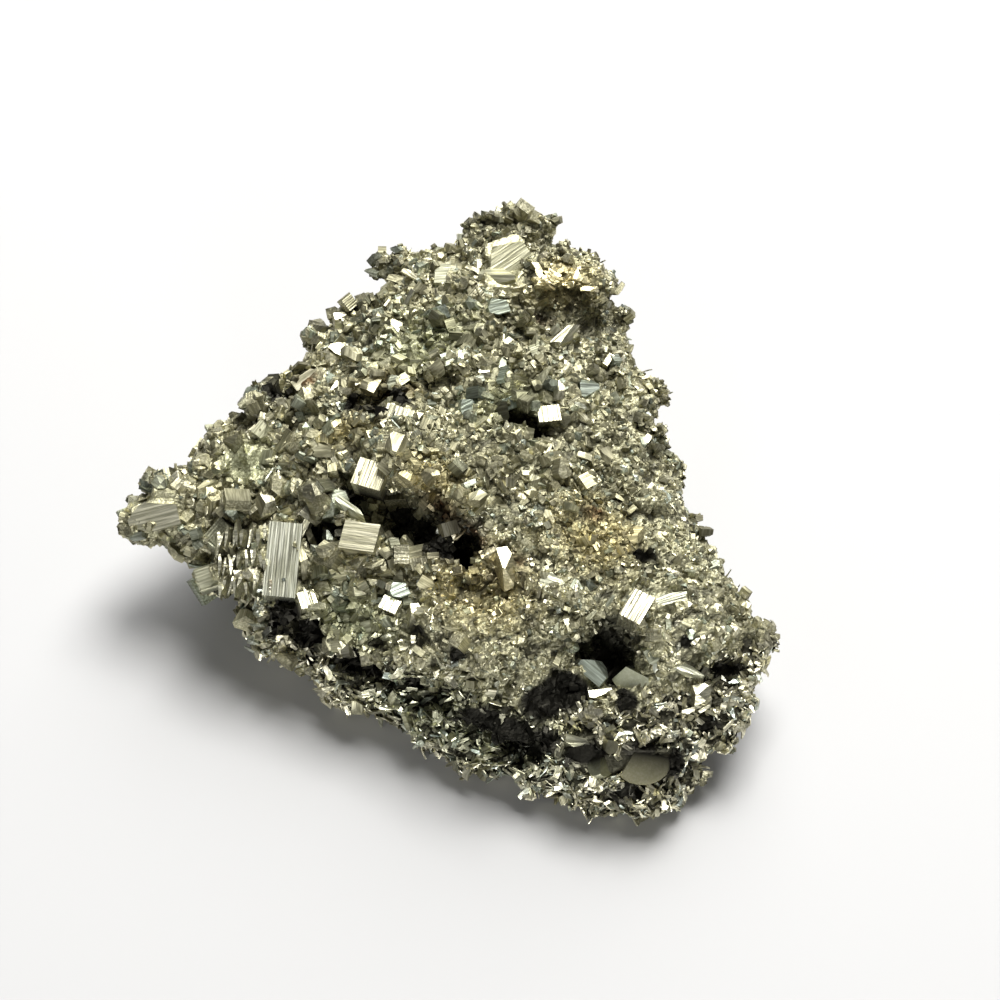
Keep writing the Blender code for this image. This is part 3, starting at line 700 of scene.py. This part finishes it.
# %% List the large crystals, in millimetres and degrees
LARGE = [  # kind, x, y, z, length, width, height, turns about X, Y and Z, tone, cool
    ("ruled_fine_x", -15.9, -9.6, 13.2, 3.2, 7.4, 3.2, 25, 3, -4, 1.0, 0.4),
    ("block_b", -16.0, -7.0, 14.4, 3.6, 2.6, 2.4, 24, -10, -10, 0.8, 0.1),
    ("cube", -23.0, -8.7, 9.6, 3.2, 2.4, 3.2, 30, -10, 16, 0.6, 0.3),
    ("ruled_fine", -7.9, -9.2, 15.6, 3.6, 2.9, 4.2, 16, -8, -16, 0.8, 0.0),
    ("ruled_fine_x", -7.2, -4.0, 19.2, 3.0, 2.8, 2.8, 17, 0, -20, 0.8, 0.0),
    ("twelve", -11.0, -4.6, 15.6, 3.1, 2.9, 2.9, 30, 20, 34, 0.5, 0.8),
    ("block_a", -9.2, -6.2, 16.6, 3.8, 1.1, 2.2, 16, 8, -38, 0.65, 0.4),
    ("ruled_x", -13.5, -13.9, 12.1, 1.7, 1.9, 2.2, 7, 6, 18, 1.0, 0.0),
    ("block_b", -4.8, -13.8, 14.3, 1.8, 1.8, 1.8, 26, 6, 30, 0.8, 1.0),
    ("ruled_x", -5.4, -15.3, 13.5, 1.8, 1.5, 1.8, 8, 6, -24, 1.0, 0.0),
    ("block_a", -3.0, -16.6, 13.8, 1.1, 1.7, 3.2, 16, 8, 10, 0.75, 0.1),
    ("block_c", -2.0, -16.4, 14.4, 1.4, 1.4, 2.4, 24, -8, -16, 0.65, 0.1),
    ("block_a", 5.9, -14.2, 18.1, 1.5, 3.8, 2.6, 10, 6, 18, 0.9, 0.0),
    ("block_b", 10.1, -16.2, 18.6, 2.3, 2.2, 2.2, 24, 8, -14, 0.75, 0.4),
    ("ruled_x", 18.1, -17.5, 16.0, 2.2, 3.2, 2.6, 9, 8, -28, 1.0, 0.0),
    ("block_b", 14.3, -21.3, 11.8, 3.0, 1.8, 2.2, 36, 12, -40, 0.7, 1.0),
    ("block_c", 14.6, -23.7, 11.0, 2.3, 1.5, 1.8, 8, 6, 12, 1.0, 0.2),
    ("drop", 17.7, -21.8, 11.2, 4.0, 2.8, 2.6, 30, -10, -24, 0.5, 0.5),
    ("block_c", 20.2, -19.6, 12.8, 2.8, 2.8, 2.8, 28, -14, 24, 0.5, 0.6),
    ("drop", 18.8, -29.5, 7.8, 5.2, 3.8, 3.4, 20, -4, 4, 0.25, 0.0),
    ("drop", 14.9, -29.5, 7.8, 3.4, 2.4, 2.6, 34, 26, 52, 0.3, 0.4),
    ("block_a", 12.6, -27.6, 8.6, 2.6, 1.3, 1.4, 36, 10, -10, 0.85, 0.1),
    ("drop", 15.6, -28.2, 9.2, 1.6, 1.7, 1.6, 30, 10, 20, 0.8, 0.0),
    ("block_a", 11.8, 13.6, 19.8, 3.6, 1.4, 1.7, 24, -10, 44, 0.85, 0.1),
    ("cube", -0.1, 22.7, 18.3, 2.5, 2.4, 2.8, 14, -10, -6, 0.66, 0.3),
    ("block_b", 4.6, 16.6, 21.0, 2.3, 1.9, 1.9, 34, 12, 30, 0.5, 1.0),
    ("block_b", 5.9, 25.0, 18.8, 4.4, 4.2, 2.6, 29, -13, 34, 0.45, 0.2),
    ("block_c", 5.2, 22.0, 19.2, 4.0, 2.4, 2.0, 34, -14, -16, 0.55, 0.2),
    ("block_a", -13.8, 10.0, 17.0, 3.4, 2.0, 2.2, 24, -12, 34, 0.75, 0.0),
    ("block_b", -5.4, 7.0, 20.4, 2.2, 2.0, 2.2, 34, 12, 28, 0.7, 0.9),
    ("ruled_x", -4.6, 2.0, 21.4, 2.8, 1.6, 1.6, 18, 2, -20, 0.9, 0.1),
    ("block_a", -10.9, 18.2, 16.8, 1.6, 1.5, 1.7, 8, 6, 14, 0.95, 0.0),
    ("block_b", -10.8, 13.6, 17.4, 2.4, 1.5, 1.8, 6, 4, -24, 0.9, 0.0),
    ("block_b", 1.7, 2.8, 21.6, 2.3, 2.2, 2.2, 34, 12, 40, 0.7, 1.0),
    ("block_c", 13.6, 6.4, 20.4, 2.1, 2.6, 2.2, 28, 20, 12, 0.7, 1.0),
    ("block_a", 3.6, 6.6, 21.8, 1.2, 1.5, 1.8, 6, 6, -20, 1.0, 0.0),
    ("ruled_x", 9.9, 2.0, 21.5, 2.2, 1.7, 1.6, 17, 3, 10, 0.9, 0.0),
    ("ruled", 13.6, -4.7, 19.6, 1.9, 1.5, 1.6, 20, 10, 40, 0.7, 0.0),
    ("block_b", -28.8, -3.7, 13.1, 5.0, 3.2, 2.6, 32, -10, 10, 0.9, 0.1),
    ("block_c", -30.6, -1.4, 11.6, 2.6, 2.4, 2.6, 30, 30, 20, 0.6, 0.2),
    ("block_a", -17.8, 3.9, 17.0, 2.4, 2.2, 2.2, 20, -20, 50, 0.5, 0.2),
    ("block_b", 21.2, -15.4, 15.0, 3.6, 1.2, 1.8, 24, 6, 24, 0.85, 0.4),
    ("block_c", 23.0, -21.8, 12.4, 3.4, 1.2, 1.6, 24, 8, -24, 0.9, 0.4),
    ("block_a", 24.4, -23.4, 10.6, 1.8, 1.6, 1.8, 12, 8, 20, 0.95, 0.1),
]
PLACE, SIZE, TURNS = slice(1, 4), slice(4, 7), slice(7, 10)  # where an entry keeps these
print("large crystals:", len(LARGE))

# %% [markdown]
# ## Plates and dome flakes
# A row of ragged upright plates stands on the left, and bright flakes spread from one point on the far dome.
# Both repeat with small differences, so a loop lists them in the same form as the crystals.

# %% List the plates and the dome flakes
rng = np.random.default_rng(17)
PLATES = []  # each is broken in three
for row in range(10):
    for part in range(3):
        x, y = -17.6 - 0.52 * row + 0.2 * part, -7.6 - 2.0 * part + rng.uniform(-0.5, 0.5)
        z = 15.1 - 1.0 * part - 0.13 * row + rng.uniform(-0.3, 0.3)
        size = rng.uniform(0.22, 0.42), rng.uniform(1.8, 3.0), rng.uniform(1.4, 2.4)
        turn = rng.uniform(16, 40), rng.uniform(-14, 16), rng.uniform(-14, 12)
        PLATES.append(("block_c", x, y, z) + size + turn + (rng.uniform(0.9, 1.3), 0.15))
rng = np.random.default_rng(40)
DOME_FLAKES = []
for _ in range(46):
    angle, reach = rng.uniform(-1.8, 1.8), rng.uniform(0.5, 4.0)
    x, y, z = 11.0 + reach * math.sin(angle), 18.8 + 0.9 * reach * math.cos(angle), 22.1 - 0.06 * reach**2
    size = rng.uniform(0.35, 0.8), rng.uniform(0.9, 1.9), rng.uniform(0.4, 0.7)
    turn = rng.uniform(-4, 30), rng.uniform(-20, 24), -math.degrees(angle) + rng.uniform(-45, 45)
    DOME_FLAKES.append(("block_b", x, y, z) + size + turn + (rng.uniform(0.5, 1.0), 0.0))
SPOT_REACH = 0.42  # of a crystal's longest side, how far round its middle it keeps the skin free
LARGE_SPOTS = [entry[PLACE] + (SPOT_REACH * max(entry[SIZE]),) * 3 + (0, 0) for entry in LARGE + PLATES]
print("plates:", len(PLATES), "dome flakes:", len(DOME_FLAKES))

# %% [markdown]
# ## How coarse, how many
# Grain size changes over the lump: coarse on the left shelf and round the rim, fine on the right shoulder
# and on the sparkling swelling in front. A few named spots set it, and everything between is blended.

# %% The grain size at each place
GRAIN_SPOTS = np.array(  # x, y, z in mm, then how coarse the grains are there
    [
        (-12, -8, 15, 1.5),
        (-12, 12, 18, 1.1),
        (-2, 20, 19, 1.1),
        (8, 5, 21, 1.25),
        (-24, 0, 15, 1.2),
        (0, 0, 22, 0.95),
        (19, 4, 17, 0.75),
        (22, -8, 15, 0.7),
        (12, 20, 21, 0.7),
        (4, -19, 15, 0.7),
        (24, -22, 9, 0.85),
        (-5, -20, 6, 0.9),
        (0, 25, 8, 0.9),
    ]
)


def coarseness(points):
    """The grain size at each point (metres): a blend of the spots, the nearer the stronger."""
    gap = ((points[:, None] / MM - GRAIN_SPOTS[None, :, :3]) ** 2).sum(2) + 4.0
    weight = 1 / gap**1.5
    return (weight * GRAIN_SPOTS[None, :, 3]).sum(1) / weight.sum(1)


coarse_here = coarseness(middle)
print("grain size on the skin:", [round(float(q), 2) for q in np.percentile(coarse_here, (5, 50, 95))])

# %% [markdown]
# ## Where each kind grows
# Every triangle of the matrix gets a weight for each kind of grain. Crevices, valleys of the relief and bare
# faces get few, and the large crystals stay free. The front foot is left to the leaves, bright specks
# gather where the metal is brassy, and coarse blocks grow where the grain is coarse.

# %% Weigh the skin
FOOT_BACK, FOOT_TOP = -9.0, 10.5  # mm, the front foot lies before and below these
DARKEST = 0.95  # shade beyond which hardly anything shows


def in_front_foot(points):
    """True for the points (metres) low on the front."""
    return (points[:, 1] < FOOT_BACK * MM) & (points[:, 2] < FOOT_TOP * MM)


def kept_free(grow, left):
    """What is left of the weight on the large crystals, and 1 elsewhere."""
    return np.where(inside(middle, LARGE_SPOTS, grow) > 0, left, 1.0)


front_foot = in_front_foot(middle) & (tri_normal[:, 1] < 0.2)
open_skin = np.where(in_shade > DARKEST, 0.15, 1.0) * np.where(inside(middle, BARE) > 0.05, 0.05, 1.0)
open_skin *= kept_free(1.15, 0.12) * (1 - 0.5 * in_valley)
crust = open_skin * np.where(front_foot, 0.06, 1.0)
coarse = crust * np.where(front_foot, 0.3, 1.0) * coarse_here**2 * kept_free(1.5, 0.0)
brilliant = open_skin * (0.15 + inside(middle, BRASSY))
foot = np.where(front_foot, 1.0, 0.01) * np.where(in_shade > DARKEST, 0.03, 1.0) * (1 - 0.9 * in_valley)
foot *= kept_free(1.1, 0.05)
print("front foot share of the skin:", round(float(front_foot.mean()), 3))

# %% [markdown]
# ## Strewing the grains
# One function strews every kind. Small sizes outnumber large ones, and all follow the grain size of their
# place. Each copy sinks a little into the matrix, so that it looks grown and not dropped. Chips and blocks
# lie any way, while leaves lie more or less flat.


# %% Strew the grains
def strew(name, kind, count, low, high, seed, weight, sink=0.1, flat=(0.7, 1.25), tone=(0.0, 1.0, 1.6)):
    """Copies between two sizes (mm); tone is the lowest, the highest and how far the dull outnumber."""
    rng = np.random.default_rng(seed)
    places, normals, valley = spots_on_skin(count, rng, weight)
    size = rng.uniform(0, 1, count) ** 1.7 * (high - low) + low
    size = size * coarseness(places) * MM
    sizes = size[:, None] * rng.uniform(*flat, (count, 3))
    places = places - normals * (sink * size)[:, None]
    tones = tone[0] + (tone[1] - tone[0]) * rng.random(count) ** tone[2]
    # brighter grains in the fresh places, partly clean metal and partly painted light on the front; duller
    # ones where tarnished
    tones += 0.3 * ramp(inside(places, FRESH_AND_PAINTED_LIGHT), 0, 0.4) - 0.12 * ramp(inside(places, DULL), 0, 0.5)
    cools = np.where(rng.random(count) < 0.22, rng.random(count), 0.0)
    turns = laid_flat(normals, rng, 0.5) if kind == "leaf" else random_turns(count, rng)
    return joined_copies(name, MASTERS[kind], places, turns, sizes, tones, cools, normals, valley)


mixed = (0.1, 1.0, 1.3)
grains = [  # name, kind, how many, least and greatest size in mm, seed, weight
    strew("chips_a", "chip_a", 6700, 0.3, 1.1, 21, crust, 0.2, (0.4, 1.5)),
    strew("chips_b", "chip_b", 6700, 0.3, 1.1, 22, crust, 0.2, (0.4, 1.5)),
    strew("chips_c", "chip_c", 6700, 0.3, 1.1, 23, crust, 0.2, (0.4, 1.5)),
    strew("fine_plates", "plain", 6000, 0.35, 1.0, 24, crust, 0.2, (0.3, 1.4)),
    strew("bright_specks", "plain", 2600, 0.25, 0.5, 25, brilliant, -0.1, (0.5, 1.4), (0.7, 1.0, 1.0)),
    strew("twelve_sided_grains", "twelve", 800, 0.5, 1.2, 26, crust, 0.2),
    strew("broken_blocks_a", "block_a", 1100, 0.6, 1.9, 27, coarse, 0.36, (0.4, 1.3), mixed),
    strew("broken_blocks_b", "block_b", 1100, 0.6, 1.9, 28, coarse, 0.36, (0.4, 1.3), mixed),
    strew("broken_blocks_c", "block_c", 1100, 0.6, 1.9, 31, coarse, 0.36, (0.4, 1.3), mixed),
    strew("bevelled_cubes", "cube", 260, 0.7, 1.3, 32, coarse, 0.32, (0.8, 1.15), mixed),
    strew("ruled_cubes", "ruled", 160, 0.9, 1.6, 29, coarse, 0.28, (0.7, 1.2), (0.2, 1.0, 1.0)),
    strew("ruled_shards", "ruled", 800, 0.8, 2.1, 33, coarse, 0.4, (0.3, 1.2), mixed),
    strew("flakes", "leaf", 1350, 1.0, 2.6, 34, crust, 0.04, (0.6, 1.4), mixed),
    strew("front_leaves", "leaf", 5000, 0.8, 2.4, 30, foot, 0.0, (0.6, 1.3), (0.8, 1.3, 1.0)),
]

# %% [markdown]
# ## Setting the large crystals
# They are copied like the grains, all crystals of one kind in one mesh. Placing each by hand with duplicate,
# scale and rotate would give the same crystals, but a list is easier to read through and to change. The
# modelled crystals have done their work then and are deleted.


# %% Place the large crystals
def large_piece(name, entries):
    """One mesh of all these crystals, which are of one kind."""
    kind = entries[0][0]
    places = np.array([entry[PLACE] for entry in entries], float) * MM
    sizes = np.array([entry[SIZE] for entry in entries], float) * MM
    angles = [[math.radians(angle) for angle in entry[TURNS]] for entry in entries]
    turns = np.array([Euler(three, "XYZ").to_matrix() for three in angles])
    tones, cools = np.array([entry[-2:] for entry in entries], float).T
    return joined_copies(name, MASTERS[kind], places, turns, sizes, tones, cools)


large = []
for kind in sorted({entry[0] for entry in LARGE}):
    large.append(large_piece(f"large_{kind}_crystals", [entry for entry in LARGE if entry[0] == kind]))
large.append(large_piece("upright_plates", PLATES))
large.append(large_piece("dome_flakes", DOME_FLAKES))
for master in MASTERS.values():
    bpy.data.objects.remove(master)
print("pieces of large crystals:", len(large))

# %% [markdown]
# ## Stains, tints and painted shade as numbers on the mesh
# Rust, yellow and olive tints and the painted shade that blackens the crevices belong to places, not to
# single crystals. They could be vertex colours, but one colour can't hold them all. So each is written on
# every point of every piece as a number of its own from 0 to 1, and the material reads them. A small grain
# gets the painted shade of its middle, and more painted shade where it is rooted in the matrix.


# %% Write the numbers
FOOT_SHADE = 0.9  # painted shade on the matrix behind the leaves of the front foot


def write_number(obj, name, numbers):
    """Keeps a number from 0 to 1 on every point of the object."""
    attribute = obj.data.attributes.new(name, "FLOAT", "POINT")
    attribute.data.foreach_set("value", np.clip(numbers, 0, 1).astype(np.float32))


def write_places(obj):
    """Stains and tints go on every point. A small copy's painted shade is that of its middle, deepened at its
    root.
    """
    points = points_of(obj)
    for name, places, gain in (("rust", RUST, 1.8), ("brassy", BRASSY, 1.5), ("greenish", GREENISH, 1.5)):
        write_number(obj, name, inside(points, places) * gain)
    if obj is skin:
        write_number(obj, "painted_shade", np.maximum(skin_shade, FOOT_SHADE * in_front_foot(points)))
        # a low tone: partly the duller metal of the matrix, partly painted shade in the gaps between the
        # grains; bare faces are lighter
        write_number(obj, "tone", 0.2 + 0.2 * ramp(inside(points, BARE), 0, 0.3))
        write_number(obj, "cool", np.full(len(points), 0.1))
    elif obj in large:
        write_number(obj, "painted_shade", shade_of(points))
    else:
        places, per, root_shade, valley = copies_of[obj.name]
        # painted shade: hollows and voids, valleys of the relief, and towards each copy's root
        shade = np.repeat(np.maximum(shade_of(places), 0.5 * valley), per)
        write_number(obj, "painted_shade", 1 - (1 - shade) * (1 - root_shade))


pieces = [skin] + grains + large
for piece in pieces:
    write_places(piece)
print("numbers on each piece:", [a.name for a in skin.data.attributes if a.data_type == "FLOAT"])

# %% [markdown]
# ## Pyrite as a material
# Pyrite is a mirror of a pale brass colour, as a metal is, so the shader is fully metallic. What makes it
# look real is variety: each grain has its own tone, fresh faces are smoother than tarnished ones, and
# crevices are painted nearly black as shade. Pictures wrapped round the lump would need it unfolded, so
# everything comes from noise and from the numbers on the mesh. Fine dirty streaks break the reflections. They
# are a noise drawn out along each crystal's own points, and on the matrix and the smooth crystals the same
# noise isn't drawn out.


# %% Small helpers for materials
def add_node(tree, kind, **settings):
    """A new node of this kind with these settings."""
    node = tree.nodes.new(kind)
    for key, value in settings.items():
        setattr(node, key, value)
    return node


def read_number(tree, name):
    """The number of this name that each piece carries."""
    node = add_node(tree, "ShaderNodeAttribute")
    node.attribute_name = name
    return node.outputs["Fac"]


def feed(tree, value, socket):
    """Links another node's output to the socket, or sets a plain value there."""
    if hasattr(value, "is_output"):
        tree.links.new(value, socket)
    else:
        socket.default_value = value


def mix_colour(tree, factor, first, second, blend="MIX"):
    """Two colours mixed or multiplied."""
    node = add_node(tree, "ShaderNodeMix", data_type="RGBA", blend_type=blend)
    for value, number in ((factor, 0), (first, 6), (second, 7)):  # the sockets for colours
        feed(tree, value, node.inputs[number])
    return node.outputs[2]


def calculate(tree, operation, first, second):
    """A sum of two numbers, kept between 0 and 1."""
    node = add_node(tree, "ShaderNodeMath", operation=operation, use_clamp=True)
    feed(tree, first, node.inputs[0])
    feed(tree, second, node.inputs[1])
    return node.outputs[0]


def noise_of(tree, size_mm, detail=3.0, along=None):
    """A noise with blotches about this many millimetres across, drawn out along each crystal if asked."""
    mapping = add_node(tree, "ShaderNodeMapping")
    if along is None:
        source = add_node(tree, "ShaderNodeTexCoord").outputs["Object"]
        mapping.inputs["Scale"].default_value = [1 / (size_mm * MM)] * 3
    else:
        own = add_node(tree, "ShaderNodeAttribute")
        own.attribute_name = "own"
        source = own.outputs["Vector"]
        mapping.inputs["Scale"].default_value = [1 / (along * MM), 1 / (size_mm * MM), 1 / (size_mm * MM)]
    tree.links.new(source, mapping.inputs["Vector"])
    node = add_node(tree, "ShaderNodeTexNoise")
    node.inputs["Scale"].default_value = 1.0
    node.inputs["Detail"].default_value = detail
    tree.links.new(mapping.outputs["Vector"], node.inputs["Vector"])
    return node.outputs["Fac"]


# %% The pyrite finish
METAL = (  # where on the scale from dull to bright, and the colour there
    (0.1, (0.37, 0.353, 0.24, 1)),
    (0.55, (0.76, 0.725, 0.5, 1)),
    (0.98, (0.92, 0.88, 0.68, 1)),
)
TINTS = (  # which number brings it, how strong, and the colour that the metal is multiplied by
    ("brassy", 0.7, (1.0, 0.9, 0.66, 1)),
    ("greenish", 0.6, (0.88, 0.96, 0.88, 1)),
    ("cool", 0.9, (0.78, 0.92, 1.12, 1)),
)
RUST_BROWN = (0.11, 0.058, 0.026, 1)
# the colour of the painted shade in hollows, voids and at the roots of grains
PAINTED_SHADE_BLACK = (0.022, 0.021, 0.017, 1)


def pyrite(name, bump, roughness, ruling=None, dirt=0.5):
    """Pyrite; ruling is the length in mm of the fine streaks, dirt how much shine a streak leaves."""
    material = bpy.data.materials.new(name)
    material.use_nodes = True
    tree = material.node_tree
    shader = tree.nodes["Principled BSDF"]
    shader.inputs["Metallic"].default_value = 1.0
    tone = read_number(tree, "tone")
    blotch = noise_of(tree, 2.2)
    toned = calculate(tree, "MULTIPLY", tone, 0.75)
    shine = calculate(tree, "ADD", toned, calculate(tree, "MULTIPLY", blotch, 0.35))
    metal = add_node(tree, "ShaderNodeValToRGB")
    metal.color_ramp.elements.new(0.5)
    for stop, (position, shade) in zip(metal.color_ramp.elements, METAL):
        stop.position = position
        stop.color = shade
    tree.links.new(shine, metal.inputs["Fac"])
    colour = metal.outputs["Color"]
    for number, strength, tint in TINTS:
        amount = calculate(tree, "MULTIPLY", read_number(tree, number), strength)
        colour = mix_colour(tree, amount, colour, tint, "MULTIPLY")
    patches = calculate(tree, "MULTIPLY", noise_of(tree, 1.1), 1.7)
    stain = calculate(tree, "MULTIPLY", read_number(tree, "rust"), patches)
    colour = mix_colour(tree, stain, colour, RUST_BROWN)
    streaks = noise_of(tree, 0.22, 3.0, ruling)
    clean = calculate(tree, "MULTIPLY", calculate(tree, "SUBTRACT", streaks, 0.42), 4.0)
    dirty = mix_colour(tree, 1.0, colour, (dirt, dirt, 0.92 * dirt, 1), "MULTIPLY")
    colour = mix_colour(tree, clean, dirty, colour)
    # painted shade: the metal is mixed towards near black by the shade number on each point
    colour = mix_colour(tree, read_number(tree, "painted_shade"), colour, PAINTED_SHADE_BLACK)
    tree.links.new(colour, shader.inputs["Base Color"])
    polish = add_node(tree, "ShaderNodeMapRange")
    polish.inputs["To Min"].default_value = roughness[0]
    polish.inputs["To Max"].default_value = roughness[1]
    tree.links.new(shine, polish.inputs["Value"])
    tree.links.new(polish.outputs["Result"], shader.inputs["Roughness"])
    bumps = add_node(tree, "ShaderNodeBump")
    bumps.inputs["Strength"].default_value = bump
    bumps.inputs["Distance"].default_value = 0.12 * MM
    tree.links.new(noise_of(tree, 0.35, 4.0, ruling), bumps.inputs["Height"])
    tree.links.new(bumps.outputs["Normal"], shader.inputs["Normal"])
    return material


# %% Dress the pieces, with the roughness of dull and of bright places
matrix_finish = pyrite("pyrite_matrix_finish", 0.7, (0.65, 0.45))
grain_finish = pyrite("pyrite_grain_finish", 0.7, (0.7, 0.4), 2.0)
crystal_finish = pyrite("pyrite_crystal_finish", 0.8, (0.6, 0.38), 4.0)
smooth_finish = pyrite("pyrite_smooth_finish", 0.15, (0.45, 0.3), None, 0.85)
skin.data.materials.append(matrix_finish)
for piece in grains:
    piece.data.materials.append(grain_finish)
for piece in large:
    piece.data.materials.append(smooth_finish if "drop" in piece.name else crystal_finish)
print("finishes:", sorted({piece.data.materials[0].name for piece in pieces}))

# %% [markdown]
# ## Table and light
# A white table carries the lump. A broad light above makes the faces gleam and throws a short soft shadow
# forwards and to the left, and another behind it brightens the rims. A low one in front looks into the ragged
# foot, which would be black without it, and a weak one opens up the left. An environment picture could light
# it in one go, but panels can be set one by one. A little even light comes from all round.

# %% Table
bpy.ops.object.select_all(action="DESELECT")
bpy.ops.mesh.primitive_plane_add(size=3.0, location=(0, 0, 0))
floor = bpy.context.object
floor.name = "white_table"
paper = bpy.data.materials.new("white_paper")
paper.use_nodes = True
paper_shader = paper.node_tree.nodes["Principled BSDF"]
paper_shader.inputs["Base Color"].default_value = (0.52, 0.52, 0.52, 1)
paper_shader.inputs["Roughness"].default_value = 0.9
floor.data.materials.append(paper)
print("table:", floor.dimensions.x, "m across")


# %% Lights
def panel(name, direction, distance, size, watts, colour=(1, 1, 1)):
    """A square light this far off (metres) in this direction, which looks back at the lump."""
    toward = Vector(direction).normalized()
    lamp = bpy.data.lights.new(name, "AREA")
    lamp.shape = "SQUARE"
    lamp.size = size
    lamp.energy = watts
    lamp.color = colour
    obj = bpy.data.objects.new(name, lamp)
    obj.location = toward * distance
    obj.rotation_euler = toward.to_track_quat("Z", "Y").to_euler()
    bpy.context.scene.collection.objects.link(obj)


panel("key_panel", (0.2, 0.32, 0.93), 0.7, 0.4, 7.3, (1.0, 0.99, 0.97))
panel("back_panel", (0.15, 0.7, 0.7), 0.7, 0.6, 4.0)
panel("low_front_panel", (0.0, -0.99, 0.08), 0.8, 0.2, 5.4)
panel("front_left_panel", (-0.6, -0.6, 0.5), 0.8, 0.5, 0.5)
world = bpy.data.worlds.new("even_light")
world.use_nodes = True
even_light = world.node_tree.nodes["Background"]
even_light.inputs["Color"].default_value = (0.95, 0.97, 1.0, 1)
even_light.inputs["Strength"].default_value = 0.05
bpy.context.scene.world = world
bpy.context.scene.view_settings.view_transform = "Standard"

# %% [markdown]
# ## Camera
# A long lens from a good way off keeps the lump's proportions true. It looks steeply down from the front, so
# that the top, the long crevice and the ragged foot all show. Fewer degrees would hide the top, and more
# would hide the foot.

# %% Set the camera
CAMERA_DROP = math.radians(52)  # how far it looks down
CAMERA_AWAY = 320 * MM
look_at = Vector((5.2, 0.64, 10.0)) * MM
camera_data = bpy.data.cameras.new("camera")
camera_data.lens = 115.2
camera_data.sensor_width = 36.0
camera_data.clip_start = 0.01
camera = bpy.data.objects.new("camera", camera_data)
bpy.context.scene.collection.objects.link(camera)
camera.location = look_at + CAMERA_AWAY * Vector((0, -math.cos(CAMERA_DROP), math.sin(CAMERA_DROP)))
camera.rotation_euler = (math.pi / 2 - CAMERA_DROP, 0, 0)
bpy.context.scene.camera = camera
print("camera, mm:", [round(c / MM) for c in camera.location])

# %% [markdown]
# ## Tie everything to the lump
# The matrix stands for the solid lump, and everything rides on the one body that the lump is.

# %% Tie the pieces to the lump
for piece in pieces:
    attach(piece, "root")
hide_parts(NODE)
print("pieces:", len(pieces), "triangles in all:", sum(triangles(p) for p in pieces))
